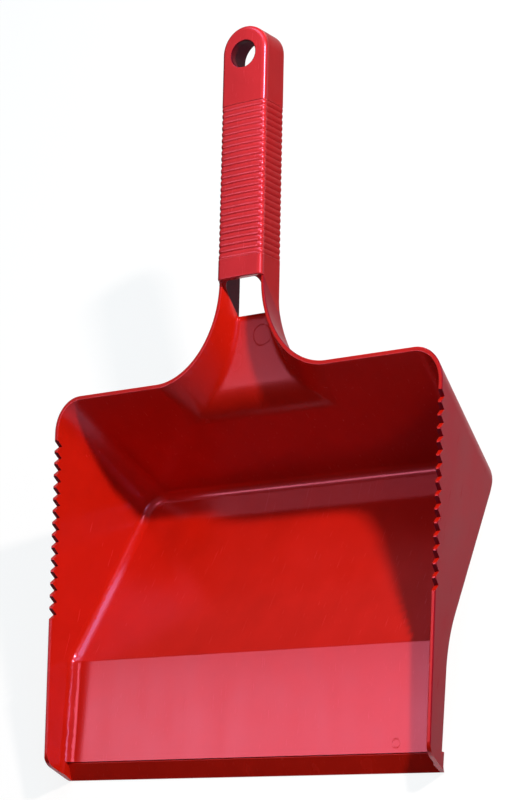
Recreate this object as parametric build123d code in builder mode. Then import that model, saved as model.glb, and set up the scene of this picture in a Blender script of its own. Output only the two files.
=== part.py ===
from build123d import *
from math import asin, atan2, cos, degrees, hypot, radians, sin, tan
import os

# A deep dustpan with a channel-section handle, as four mouldings that seat in each other:
# the pan with its neck, the front lip, the handle and the ribbed grip sleeve.
# Millimetres. X runs across the pan, Y back from the lip to the handle's end, Z up from the floor.
# Side-view sizes are measured back from the lip's tip and up from the floor.

# Side view of the pan
pan_length = 240.0          # lip tip to the outside of the rear rim
rim_front_setback = 2.0     # lip tip to the top front corner of the side walls
rim_front_height = 25.4
rim_rear_height = 107.8
wall = 3.0
bend_setback = 75.4         # ridge between the front ramp and the floor
bend_height = 27.6
bend_radius = 80.0          # outside, under the ridge
ridge_radius = 2.0          # inside
foot_setback = 217.5        # inside corner of the floor and the back wall
foot_run = 21.8             # flat strip that stands on the floor
foot_radius = 30.0

# Plan of the pan, in the plane of its rim
rim_half_front = 149.0
rim_half_rear = 155.5
side_draft = 7.0
corner_radius = 22.0        # outside, between the back and side walls
floor_radius = 8.0          # inside, along the floor's edges
floor_edge_radius = 5.0     # outside, under the floor's edges
front_corner_radius = 10.0
rim_radius = 0.8

# Comb teeth in the side rims
comb_count = 15
comb_pitch = 8.4
comb_depth = 4.5
comb_land = 0.8             # flat tip of a tooth
comb_setback = 29.8         # from the rear rim to the first tooth

# Neck
neck_half = 18.2
neck_draft = 14.0           # inside, the outside is upright
neck_level = 25.0           # depth of the ridge under the rim, about
neck_bottom = 45.0          # depth that the neck's form reaches
neck_wall = 2.4
horn_width = 50.0           # flare of the rim into the neck
horn_length = 64.0
throat_depth = 15.8         # rim to the back plate at the window
throat_fall = 6.4           # slope of the back plate against the rim
throat_radius = 30.0

# Window between the neck and the handle, back from the rear rim
window_start = 43.3         # top edge of the back plate
window_end = 64.1           # lower edge of the handle's front plate

# Handle
handle_rise = 0.9           # degrees, against the rim
handle_proud = 4.4          # front face above the rim
handle_depth = 23.0
handle_wall = 4.0
handle_crown = 0.8
handle_edge_radius = 3.8
handle_lower_radius = 1.0
channel_radius = 4.0        # inside, under the front plate's edges
handle_length = 179.0       # lower edge of the front plate to the end
eye_radius = 9.5
eye_setback = 20.7          # from the handle's end
eye_edge_radius = 1.0

# Grip sleeve
grip_start = 14.0           # from the lower edge of the front plate
grip_length = 109.0
grip_thickness = 1.8
grip_hook = 1.5
grip_clearance = 0.1
rib_count = 25
rib_depth = 0.6
groove_width = 1.7          # between ribs

# Front lip
lip_run = 9.6
lip_height = 8.9
lip_flange = 2.2            # thickness, square to the bevel
lip_shelf = 12.0            # length of the shelf under the ramp
shelf_thickness = 2.0
shelf_inset = 8.0           # each end of the shelf, short of the side walls
lip_clearance = 0.15        # at each end, between the side walls
lip_crest_radius = 0.8
key_width = 3.0             # rib on the shelf, in a groove under the ramp
key_height = 1.2
key_clearance = 0.05

# Tongues between the handle and the neck
tongue_thickness = 1.0
tongue_reach = 4.0
tongue_inset = 0.7          # outer face of the wall to the tongue
tongue_start = 4.0          # along the slanted joint, from its lower end
tongue_length = 11.5
tongue_root = 2.0           # length rooted in the handle
tongue_clearance = 0.05

# Room that cutting tools reach past the solid
reach = 60.0
level_slack = 0.05          # how far a point may lie off a plane and still count as on it
quarter = 90.0              # of a turn, in degrees
steep = quarter / 2         # faces that lie flatter count as floor, and steeper ones as wall
checks_along = 4            # places along an edge at which it is tested

# Rim plane: its origin is the middle of the rear rim, its Y runs up the handle
rim_tilt = degrees(atan2(rim_rear_height - rim_front_height, pan_length - rim_front_setback))
handle_tilt = rim_tilt + handle_rise
pivot_y = pan_length + window_end * cos(radians(rim_tilt)) - handle_proud * sin(radians(rim_tilt))
overall_length = pivot_y + handle_length * cos(radians(handle_tilt)) + handle_depth * sin(radians(handle_tilt))
tip_y = -overall_length / 2
rim_plane = Plane(
    origin=(0, tip_y + pan_length, rim_rear_height),
    x_dir=(1, 0, 0),
    z_dir=(0, -sin(radians(rim_tilt)), cos(radians(rim_tilt))),
)
rim_side = Plane(origin=rim_plane.origin, x_dir=rim_plane.y_dir, z_dir=(1, 0, 0))
handle_origin = rim_plane.from_local_coords((0, window_end, handle_proud))
handle_plane = Plane(
    origin=handle_origin,
    x_dir=(1, 0, 0),
    z_dir=(0, -sin(radians(handle_tilt)), cos(radians(handle_tilt))),
)

# The back wall passes the rear rim on its outside and the foot corner on its inside
back_drop = rim_rear_height - wall
back_run = pan_length - foot_setback
back_angle = degrees(atan2(back_drop, back_run) + asin(wall / hypot(back_drop, back_run)))
back_lean = quarter + rim_tilt - back_angle
ramp_slope = (bend_height - lip_height) / (bend_setback - lip_run)
ramp_angle = degrees(atan2(bend_height - lip_height, bend_setback - lip_run))
side_taper = (rim_half_rear - rim_half_front) * cos(radians(rim_tilt)) / pan_length
tip_level = rim_plane.to_local_coords(Vector(0, tip_y, 0)).Z
tip_along = rim_plane.to_local_coords(Vector(0, tip_y, 0)).Y
lip_half = rim_half_rear + side_taper * tip_along - wall + tip_level * tan(radians(side_draft))
shelf_half = lip_half - shelf_inset
cut_half = max(rim_half_front, rim_half_rear) + reach
lip_butt = (lip_run + wall * sin(radians(ramp_angle)), lip_height - wall * cos(radians(ramp_angle)))


def at(setback, height):
    """A side-view point: back from the lip's tip and up from the floor."""
    return (tip_y + setback, height)


def from_rim(along, above):
    """The same for a point along the rim plane from the rear rim, and above that plane."""
    place = rim_plane.from_local_coords((0, along, above))
    return (place.Y, place.Z)


def along_ramp(start, distance):
    """A side-view point at a distance up the ramp's slope from a start point."""
    run = distance * cos(radians(ramp_angle))
    rise = distance * sin(radians(ramp_angle))
    return (start[0] + run, start[1] + rise)


def shared_edges(some, others):
    """Edges that a face of one group shares with a face of another."""
    other_edges = [edge for face in others for edge in face.edges()]
    found = ShapeList()
    for face in some:
        for edge in face.edges():
            if any(edge.is_same(other) for other in other_edges):
                found.append(edge)
    return found


def tray_profile(outward):
    """Side view of the space inside the tray, moved outward for the outside form."""
    ramp_start = at(-reach, lip_height - (lip_run + reach) * ramp_slope)
    bend = at(bend_setback, bend_height)
    foot_front = at(foot_setback - foot_run, wall)
    foot_rear = at(foot_setback, wall)
    back_top = at(foot_setback + 2 * back_drop / tan(radians(back_angle)), wall + 2 * back_drop)
    roof_front = at(-reach, wall + 2 * back_drop)
    with BuildSketch(Plane.YZ) as profile:
        Polygon(ramp_start, bend, foot_front, foot_rear, back_top, roof_front, align=None)
        fillet(profile.vertices().sort_by_distance(bend)[0], bend_radius if outward else ridge_radius)
        fillet(profile.vertices().sort_by_distance(foot_front)[0], foot_radius)
        if outward:
            offset(amount=outward, kind=Kind.INTERSECTION)
    return profile.sketch


def tray_form(inset, top):
    """Drafted form over the plan of the tray, open-ended at the front and the back."""
    front = -(pan_length + reach) / cos(radians(rim_tilt))
    widen = top * tan(radians(side_draft)) - inset
    half_front = rim_half_rear + side_taper * front + widen
    half_rear = rim_half_rear + side_taper * reach + widen
    with BuildPart() as form:
        with BuildSketch(rim_plane.offset(top)):
            Polygon(
                (-half_front, front), (half_front, front), (half_rear, reach), (-half_rear, reach),
                align=None,
            )
        extrude(amount=-rim_rear_height - reach, taper=side_draft)
    return form.part


def tray_block(inset, top):
    """The tray's outside form, or with an inset the space inside it, its corners rounded."""
    with BuildPart() as block:
        add(tray_form(inset, top))
        extrude(tray_profile(wall - inset), amount=cut_half, both=True, mode=Mode.INTERSECT)
        corners = [edge for edge in block.edges() if is_back_corner(edge)]
        fillet(corners, corner_radius - inset)
        floors = [face for face in block.faces() if is_floor(face)]
        walls = [face for face in block.faces() if is_wall(face)]
        fillet(shared_edges(floors, walls), floor_radius if inset else floor_edge_radius)
    return block.part


def is_back_corner(edge):
    """True for the two edges between the back wall and the side walls."""
    ends = [rim_plane.to_local_coords(vertex.center()) for vertex in edge.vertices()]
    if len(ends) < 2:
        return False
    low = min(end.Z for end in ends)
    high = max(end.Z for end in ends)
    behind = min(end.Y for end in ends)
    return low < -neck_level and high > -wall and behind > -pan_length / 2


def is_floor(face):
    """True for the ramp, the bend, the floor and the foot strip."""
    middle = face.center()
    return abs(face.normal_at(middle).Z) > cos(radians(steep)) and middle.Z < bend_height + wall


def is_wall(face):
    """True for the side walls, the back wall and the rounded corners between them."""
    middle = face.center()
    return abs(face.normal_at(middle).Z) < cos(radians(steep)) and middle.Y > tip_y - reach / 2


def is_cheek_edge(edge):
    """True for the lower outer edges of the side walls' ends, behind the lip's flange."""
    ends = [vertex.center() for vertex in edge.vertices()]
    low = min(ends, key=lambda end: end.Z)
    high = max(ends, key=lambda end: end.Z)
    rises = abs(high.Y - flange_top[0]) < level_slack and abs(high.Z - flange_top[1]) < level_slack
    return rises and abs(low.Y - flange_low[0]) < level_slack and abs(low.Z - flange_low[1]) < level_slack


def neck_outline(depth, inset, draft):
    """Plan of the neck and its flared horns at a depth under the rim."""
    rear = -inset / cos(radians(back_lean)) - depth * tan(radians(back_lean))
    side = neck_wall if inset else 0
    neck = neck_half - side - depth * tan(radians(draft))
    width = horn_width + side
    length = horn_length + inset
    base = neck + width
    start = rear + length
    end = window_end + reach
    with BuildSketch(rim_plane.offset(-depth)) as outline:
        with BuildLine():
            Polyline((-base, rear), (-base, rear - neck_level), (base, rear - neck_level), (base, rear))
            EllipticalCenterArc((base, start), width, length, start_angle=2 * quarter, arc_size=quarter)
            Polyline((neck, start), (neck, end), (-neck, end), (-neck, start))
            EllipticalCenterArc((-base, start), width, length, start_angle=3 * quarter, arc_size=quarter)
        make_face()
    return outline.sketch


def neck_profile(inset):
    """Side view of the neck's outside form, or with an inset of the space inside it."""
    fall = radians(throat_fall)
    lean = radians(back_lean)
    level = -throat_depth - (wall - inset) / cos(fall) - window_start * tan(fall)
    rear = -inset / cos(lean)
    ridge_level = (level + rear * tan(fall)) / (1 - tan(lean) * tan(fall))
    ridge = Vector(rear + ridge_level * tan(lean), ridge_level)
    radius = throat_radius - wall + inset
    half_angle = (radians(quarter) + fall + lean) / 2
    up_plate = Vector(cos(fall), sin(fall))
    down_wall = Vector(-sin(lean), -cos(lean))
    between = (up_plate + down_wall).normalized()
    top = ridge + up_plate * (radius / tan(half_angle))
    crest = ridge + between * (radius / sin(half_angle) - radius)
    foot = ridge + down_wall * (radius / tan(half_angle))
    end = (window_end + reach, level + (window_end + reach) * tan(fall))
    with BuildSketch(rim_side) as profile:
        with BuildLine():
            Polyline(end, (top.X, top.Y))
            ThreePointArc((top.X, top.Y), (crest.X, crest.Y), (foot.X, foot.Y))
            Polyline(
                (foot.X, foot.Y), (foot.X - neck_level, foot.Y), (foot.X - neck_level, reach),
                (end[0], reach), end,
            )
        make_face()
    return profile.sketch


def neck_form(inset, top, draft):
    """Upright form over the plan of the neck."""
    with BuildPart() as form:
        loft([neck_outline(-top, inset, draft), neck_outline(neck_bottom, inset, draft)], ruled=True)
    return form.part


def square_to_ramp(start, distance):
    """A side-view point at a distance up from the ramp, square to it."""
    run = -distance * sin(radians(ramp_angle))
    rise = distance * cos(radians(ramp_angle))
    return (start[0] + run, start[1] + rise)


def meet(point, slope, other, other_slope):
    """The side-view point where two sloping lines meet."""
    run = (other[1] - point[1] + other_slope * (point[0] - other[0])) / (slope - other_slope)
    return (point[0] + run, point[1] + slope * run)


def front_edge(height):
    """A side-view point on the front edge of the side walls, at a height."""
    return at(height * rim_front_setback / rim_front_height, height)


def lip_key(grow):
    """Section of the key on the lip's shelf, or with a growth of its groove."""
    start = along_ramp(shelf_start, (lip_shelf - key_width) / 2 - grow)
    end = along_ramp(start, key_width + 2 * grow)
    return [start, end, square_to_ramp(end, key_height + grow), square_to_ramp(start, key_height + grow)]


def comb_points():
    """Zigzag of the comb teeth along the rim, closed above it."""
    slope = comb_depth / ((comb_pitch - comb_land) / 2)
    peak = slope * comb_land / 2
    points = [(-comb_setback, comb_depth)]
    for tooth in range(comb_count):
        start = -comb_setback - tooth * comb_pitch
        points.append((start, peak))
        points.append((start - comb_pitch / 2, -comb_depth))
    end = -comb_setback - comb_count * comb_pitch
    points.append((end, peak))
    points.append((end, comb_depth))
    return points


def is_rim_edge(edge):
    """True for the long edges of the rim, inside and outside."""
    ends = [rim_plane.to_local_coords(vertex.center()) for vertex in edge.vertices()]
    level = max(abs(end.Z) for end in ends)
    start = min(end.Y for end in ends)
    end = max(end.Y for end in ends)
    across = end - start < level_slack and (start > window_end or start < -pan_length / 2)
    return level < level_slack and not across


def is_front_edge(edge):
    """True for the edges round the handle's front face, except its lower end."""
    middle = handle_plane.to_local_coords(edge.center())
    high = middle.Z > -2 * handle_crown and middle.Y > wall
    return high and abs(edge.tangent_at().dot(handle_plane.z_dir)) < sin(radians(steep))


def is_eye_edge(edge):
    """True for the edge of the hanging eye in the handle's front face."""
    along = [edge.position_at(check / checks_along) for check in range(checks_along)]
    places = [handle_plane.to_local_coords(place) for place in along]
    centre = handle_length - eye_setback
    round_eye = all(abs(hypot(place.X, place.Y - centre) - eye_radius) < level_slack for place in places)
    return round_eye and min(place.Z for place in places) > -handle_wall / 2


def crown_section():
    """Cross-section of the handle under its crowned front face."""
    plane = Plane(origin=handle_plane.origin, x_dir=(-1, 0, 0), z_dir=handle_plane.y_dir)
    with BuildSketch(plane) as section:
        with BuildLine():
            Polyline(
                (-neck_half, -handle_crown), (-neck_half, -handle_depth),
                (neck_half, -handle_depth), (neck_half, -handle_crown),
            )
            ThreePointArc((neck_half, -handle_crown), (0, 0), (-neck_half, -handle_crown))
        make_face()
    return section.sketch


def handle_outline(inset, start, level):
    """Plan of the handle with its round end, at a level under its front face."""
    half = neck_half - inset
    centre = handle_length - neck_half
    with BuildSketch(handle_plane.offset(-level)) as outline:
        Polygon((-half, start), (half, start), (half, centre), (-half, centre), align=None)
        with Locations((0, centre)):
            Circle(half)
    return outline.sketch


def handle_section(along, inset, back):
    """Cross-section of the handle's outside at a place along it, inset from front and sides."""
    half = neck_half - inset
    shoulder = -inset - handle_crown
    plane = Plane(
        origin=handle_plane.from_local_coords((0, along, 0)),
        x_dir=(-1, 0, 0),
        z_dir=handle_plane.y_dir,
    )
    with BuildSketch(plane) as section:
        with BuildLine():
            Polyline((-half, shoulder), (-half, back), (half, back), (half, shoulder))
            ThreePointArc((half, shoulder), (0, -inset), (-half, shoulder))
        make_face()
        fillet(section.vertices().group_by(Axis.Y)[-1], handle_edge_radius - inset)
    return section.sketch


def grip_band(along, length, inset, back):
    """Band outside an inset section of the handle, for cutting into the handle or the sleeve."""
    with BuildPart() as band:
        extrude(handle_section(along, -wall, -handle_depth - wall), amount=length)
        extrude(handle_section(along, inset, back), amount=length, mode=Mode.SUBTRACT)
    return band.part


def tongue_pair(clearance):
    """Two tongues across the slanted joint, or with a clearance their slots."""
    low = Vector(window_start, -throat_depth)
    high = Vector(window_end, 0)
    across = (high - low).normalized()
    ahead = Vector(-across.Y, across.X)
    start = low + across * (tongue_start - clearance)
    end = low + across * (tongue_start + tongue_length + clearance)
    tip = ahead * (tongue_reach + clearance)
    root = ahead * -tongue_root
    outline = [start + root, end + root, end + tip, start + tip]
    inner_face = neck_half - tongue_inset - tongue_thickness - clearance
    with BuildPart() as tongues:
        with BuildSketch(rim_side.offset(inner_face)):
            Polygon(*[(point.X, point.Y) for point in outline], align=None)
        extrude(amount=tongue_thickness + 2 * clearance)
        mirror(about=Plane.YZ)
    return tongues.part


# Points of the front lip in side view
lip_nose = at(0, 0)
lip_crest = at(lip_run, lip_height)
lip_heel = at(lip_flange / sin(atan2(lip_height, lip_run)), 0)
shelf_start = at(*lip_butt)
shelf_end = along_ramp(shelf_start, lip_shelf)
shelf_low = square_to_ramp(shelf_end, -shelf_thickness)
flange_top = meet(shelf_start, ramp_slope, lip_heel, lip_height / lip_run)
flange_low = (lip_heel[0] - reach / 2, -reach / 2 * lip_height / lip_run)
flange_root = meet(shelf_low, ramp_slope, lip_heel, lip_height / lip_run)
butt_top = square_to_ramp(lip_crest, floor_radius + wall)

# Top front corner of the side walls, and a point on the rim behind it
front_corner = at(rim_front_setback, rim_front_height)
rim_start = from_rim(rim_plane.to_local_coords(Vector(0, *front_corner)).Y + front_corner_radius, 0)

# Space inside the tray and the neck
with BuildPart() as inside:
    add(neck_form(wall, wall, neck_draft))
    extrude(neck_profile(wall), amount=cut_half, both=True, mode=Mode.INTERSECT)
    add(tray_block(wall, wall))

# Ends of the side walls beside the lip
with BuildPart() as cheeks:
    add(tray_form(0, 0))
    with BuildSketch(Plane.YZ):
        Polygon(
            flange_low, (flange_low[0], lip_height), lip_crest, shelf_start, flange_top,
            align=None,
        )
    extrude(amount=cut_half, both=True, mode=Mode.INTERSECT)
    fillet([edge for edge in cheeks.edges() if is_cheek_edge(edge)], floor_edge_radius)
    with BuildSketch(Plane.YZ):
        Polygon(lip_nose, at(0, lip_height), (shelf_end[0], lip_height), (shelf_end[0], 0), align=None)
    extrude(amount=cut_half, both=True, mode=Mode.INTERSECT)

# Channel inside the handle
with BuildPart() as channel:
    extrude(handle_outline(handle_wall, window_start - window_end - wall, handle_proud), amount=-handle_depth)
    ceiling = channel.faces().sort_by(Axis(handle_plane.origin, handle_plane.z_dir))[-1]
    fillet(ceiling.edges(), channel_radius)

# The pan: tray, side walls with comb teeth, and neck
with BuildPart() as pan:
    add(neck_form(0, 0, 0))
    extrude(neck_profile(0), amount=cut_half, both=True, mode=Mode.INTERSECT)
    add(tray_block(0, 0))
    add(cheeks.part)
    add(inside.part, mode=Mode.SUBTRACT)
    fillet([edge for edge in pan.edges() if is_rim_edge(edge)], rim_radius)
    # Front ends of the side walls
    with BuildSketch(Plane.YZ) as front_ends:
        Polygon(
            at(-2 * reach, -reach), front_edge(-reach), front_corner, rim_start,
            (rim_start[0], 2 * rim_rear_height), at(-2 * reach, 2 * rim_rear_height),
            align=None,
        )
        fillet(front_ends.vertices().sort_by_distance(front_corner)[0], front_corner_radius)
    extrude(amount=cut_half, both=True, mode=Mode.SUBTRACT)
    # Seat of the front lip, with the groove for its key
    with BuildSketch(Plane.YZ):
        Polygon(
            at(-reach, -wall), (shelf_end[0], -wall), shelf_end, shelf_start, butt_top,
            at(-reach, butt_top[1]),
            align=None,
        )
    extrude(amount=lip_half, both=True, mode=Mode.SUBTRACT)
    with BuildSketch(Plane.YZ):
        Polygon(*lip_key(key_clearance), align=None)
    extrude(amount=shelf_half + key_clearance, both=True, mode=Mode.SUBTRACT)
    # Comb teeth
    with BuildSketch(rim_side):
        Polygon(*comb_points(), align=None)
    extrude(amount=cut_half, both=True, mode=Mode.SUBTRACT)
    # Slanted joint to the handle
    with BuildSketch(rim_side):
        Polygon(
            (window_start, -neck_bottom), (window_start, -throat_depth), (window_end, 0), (window_end, wall),
            (window_end + 2 * reach, wall), (window_end + 2 * reach, -neck_bottom),
            align=None,
        )
    extrude(amount=cut_half, both=True, mode=Mode.SUBTRACT)
    add(tongue_pair(tongue_clearance), mode=Mode.SUBTRACT)
pan.part.label = "pan"

# The front lip: a bevelled strip between the side walls
with BuildPart() as front_lip:
    with BuildSketch(Plane.YZ) as lip_profile:
        Polygon(lip_nose, lip_crest, shelf_start, flange_top, lip_heel, align=None)
        fillet(lip_profile.vertices().sort_by_distance(lip_crest)[0], lip_crest_radius)
    extrude(amount=lip_half - lip_clearance, both=True)
    add(cheeks.part, mode=Mode.INTERSECT)
    with BuildSketch(Plane.YZ):
        Polygon(flange_top, shelf_start, shelf_end, shelf_low, flange_root, align=None)
        Polygon(*lip_key(0), align=None)
    extrude(amount=shelf_half, both=True)
front_lip.part.label = "front_lip"

# Tapered lower ends of the handle's walls, behind the slanted joint
with BuildPart() as tail:
    add(neck_form(0, 0, 0))
    with BuildSketch(rim_side):
        Polygon(
            (window_start, -throat_depth - wall / cos(radians(throat_fall))),
            (window_start, -throat_depth),
            (window_end, 0),
            (window_end + tongue_root, 0),
            (window_end + tongue_root, handle_proud - handle_depth),
            align=None,
        )
    extrude(amount=cut_half, both=True, mode=Mode.INTERSECT)

# The handle: a channel with a round end and a hanging eye
with BuildPart() as handle:
    extrude(handle_outline(0, 0, 0), amount=-handle_depth)
    extrude(crown_section(), amount=handle_length, mode=Mode.INTERSECT)
    fillet([edge for edge in handle.edges() if is_front_edge(edge)], handle_edge_radius)
    lower_edge = handle.edges().sort_by_distance(handle_plane.origin)[0]
    fillet(lower_edge, handle_lower_radius)
    add(tail.part)
    add(channel.part, mode=Mode.SUBTRACT)
    with BuildSketch(handle_plane):
        with Locations((0, handle_length - eye_setback)):
            Circle(eye_radius)
    extrude(amount=handle_depth + wall, both=True, mode=Mode.SUBTRACT)
    fillet([edge for edge in handle.edges() if is_eye_edge(edge)], eye_edge_radius)
    add(
        grip_band(grip_start, grip_length, grip_thickness, grip_hook - handle_depth),
        mode=Mode.SUBTRACT,
    )
    add(tongue_pair(0))
handle.part.label = "handle"

# The grip sleeve: ribbed, clipped round the front and sides of the handle
rib_pitch = grip_length / rib_count
with BuildPart() as grip_sleeve:
    extrude(
        handle_section(grip_start + grip_clearance, 0, -handle_depth),
        amount=grip_length - 2 * grip_clearance,
    )
    extrude(
        handle_section(grip_start, grip_thickness, grip_hook - handle_depth),
        amount=grip_length,
        mode=Mode.SUBTRACT,
    )
    add(channel.part, mode=Mode.SUBTRACT)
    for groove in range(1, rib_count):
        groove_start = grip_start + groove * rib_pitch - groove_width / 2
        add(grip_band(groove_start, groove_width, rib_depth, -handle_depth - wall), mode=Mode.SUBTRACT)
grip_sleeve.part.label = "grip_sleeve"

os.makedirs("parts", exist_ok=True)
export_step(pan.part, "parts/pan.step")
export_step(front_lip.part, "parts/front_lip.step")
export_step(handle.part, "parts/handle.step")
export_step(grip_sleeve.part, "parts/grip_sleeve.step")
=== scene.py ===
from math import cos, radians, sin

import bmesh
import bpy
from bpy.props import FloatProperty, FloatVectorProperty, IntProperty, PointerProperty
from mathutils import Matrix, Vector


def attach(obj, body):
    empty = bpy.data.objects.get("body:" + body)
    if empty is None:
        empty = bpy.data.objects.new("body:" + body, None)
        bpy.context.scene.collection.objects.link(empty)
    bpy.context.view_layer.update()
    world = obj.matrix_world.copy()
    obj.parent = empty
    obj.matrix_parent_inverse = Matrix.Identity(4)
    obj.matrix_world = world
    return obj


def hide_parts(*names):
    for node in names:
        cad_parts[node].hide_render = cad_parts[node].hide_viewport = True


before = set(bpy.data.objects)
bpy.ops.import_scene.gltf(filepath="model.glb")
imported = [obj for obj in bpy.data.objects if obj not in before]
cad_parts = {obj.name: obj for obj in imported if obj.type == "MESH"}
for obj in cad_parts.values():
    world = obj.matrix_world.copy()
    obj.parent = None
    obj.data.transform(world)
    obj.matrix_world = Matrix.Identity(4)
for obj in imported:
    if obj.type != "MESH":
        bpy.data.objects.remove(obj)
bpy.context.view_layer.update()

bl_info = {
    "name": "Deep Dustpan",
    "version": (1, 0, 0),
    "blender": (4, 5, 0),
    "location": "3D View > Sidebar > Dustpan",
    "description": "Dresses a deep dustpan of glossy red plastic and sets it on a studio stage",
    "category": "Object",
}

# The handle's own frame: its origin is the lower edge of the front plate, its Y points out of that plate and its Z
# towards the pan
HANDLE_TILT = 19.9968
HANDLE_FRAME = Matrix.Translation((0.0, 0.0615296, 0.132929)) @ Matrix.Rotation(radians(90 + HANDLE_TILT), 4, "X")
TO_HANDLE = HANDLE_FRAME.inverted()
# The rim's frame: its origin is the middle of the rear rim, its Y runs up the handle and its Z out of the pan
RIM_TILT = 19.0968
RIM_FRAME = Matrix.Translation((0.0, 0.00239674, 0.1078)) @ Matrix.Rotation(radians(RIM_TILT), 4, "X")
TO_RIM = RIM_FRAME.inverted()
OUT_OF_RIM = RIM_FRAME.to_3x3() @ Vector((0.0, 0.0, 1.0))
# The way that the inside of the back wall faces
BACK_TILT = radians(79.4867)
BACK_WAY = Vector((0.0, -sin(BACK_TILT), cos(BACK_TILT)))

# Boxes in the rim's frame, low and high: the neck's inner corners, the inside of the neck, the comb teeth and the
# plain front of the side rims
NECK_CORNERS = ((-0.046, -0.002, -0.030), (0.046, 0.060, -0.008))
NECK_INSIDE = ((-0.072, -0.034, -1.0), (0.072, 0.070, -0.002))
COMB_TEETH = ((-1.0, -0.158, -0.0055), (1.0, -0.028, 1.0))
FRONT_RIMS = ((-1.0, -1.0, -0.0012), (1.0, -0.165, 1.0))
# Above the neck's flare, its inner corners lie within this half width
FLARE_TOP = 0.030
PLATE_HALF = 0.0165
# Radius of the neck's inner corners, in the mesh and in the shading
NECK_ROUND = 0.0035
NECK_SOFTNESS = 0.006

# The hanging eye: how far up the handle its middle is, and its radius
EYE_PLACE = 0.1583
EYE_RADIUS = 0.0095
# The handle's sides start at this height under its front plate, and the channel ends at this one
FLANK_TOP = -0.0046
CHANNEL_FOOT = -0.018
# The gap at each end of the grip, and the length of the ramped collar there
SEAM = 0.0001
COLLAR = 0.0011

# The rings that ejector pins leave: centre, radius, and depth in units of relief
NECK_RING = ((0.00609, 0.03538, 0.10079), 0.007, 9.0)
RAMP_RING = ((0.11422, -0.22225, 0.01054), 0.0028, 4.5)
RING_WIDTH = 0.0006
# One unit of relief is a hundredth of a millimetre
RELIEF_UNIT = 0.00001
# Depth of the broad ripple in the plastic, in units of relief
PEEL = 0.8
EDGE_WEAR_RADIUS = 0.0006

# Order of the skins on the pan, on the handle and on the grip
TRAY, OUTSIDE, NECK = range(3)
FRONT, CHANNEL, FLANK = range(3)
GRIP_FRONT, GRIP_FLANK = range(2)

# The grip's section: steps across half of its front and round a long edge, which turns by this angle
CROWN_STEPS = 6
EDGE_STEPS = 8
EDGE_TURN = radians(85)
# Points round a rib's section
RIB_POINTS = 24
# A grip with fewer faces than this has lost its ribs
LEAST_FACES = 1000

# Limits for the clean-up of a mesh and for its sharp edges
MERGE_DISTANCE = 2e-6
SLIVER = 1e-6
FLAT_ANGLE = radians(0.2)
SHARP_ANGLE = radians(28)
RIB_SHARP_ANGLE = radians(40)

# The floor: its colour under the lamps, the strength of its white as it is seen, and its drop under the foot strip
FLOOR_COLOUR = (0.60, 0.51, 0.47, 1.0)
FLOOR_GLOW = 1.15
FLOOR_DROP = 0.0005
# The light from all round, and the room that shows in reflections
AMBIENT_COLOUR = (0.90, 0.93, 1.0, 1.0)
ROOM_COLOUR = (1.0, 1.0, 1.0, 1.0)
# The key lamp's aim and place, and the softbox's place
LIT_MIDDLE = Vector((0.0, -0.09, 0.03))
KEY_PLACE = LIT_MIDDLE + Vector((0.688, 0.334, 0.643)) * 1.6
SOFTBOX_PLACE = Vector((-0.71, -0.405, 1.30))
# Each lamp's place, aim, size and colour
LAMPS = {
    # The key lamp casts the clear shadow in the pan
    "key_lamp": (KEY_PLACE, LIT_MIDDLE, (0.10, 0.10), (1.0, 0.98, 0.95)),
    # The softbox hangs level over the front, where the ramp mirrors it
    "ramp_softbox": (SOFTBOX_PLACE, SOFTBOX_PLACE - Vector((0.0, 0.0, 1.0)), (1.18, 0.34), (1.0, 0.98, 1.0)),
    # The ceiling fills the level faces
    "ceiling": (Vector((0.0, 0.0, 1.6)), Vector((0.0, 0.0, 0.0)), (1.2, 1.2), (1.0, 0.98, 1.0)),
    # The window behind the handle draws a line along the floor's left fillet
    "rear_window": (Vector((0.10, 1.0, 1.20)), Vector((-0.13, -0.10, 0.02)), (1.2, 0.6), (0.28, 0.72, 1.0)),
    # The side strip draws streaks in the neck's corners and along the handle's edge
    "side_strip": (Vector((1.03, -0.40, 0.87)), Vector((0.0, 0.02, 0.10)), (0.6, 0.2), (0.3, 0.75, 1.0)),
}


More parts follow.
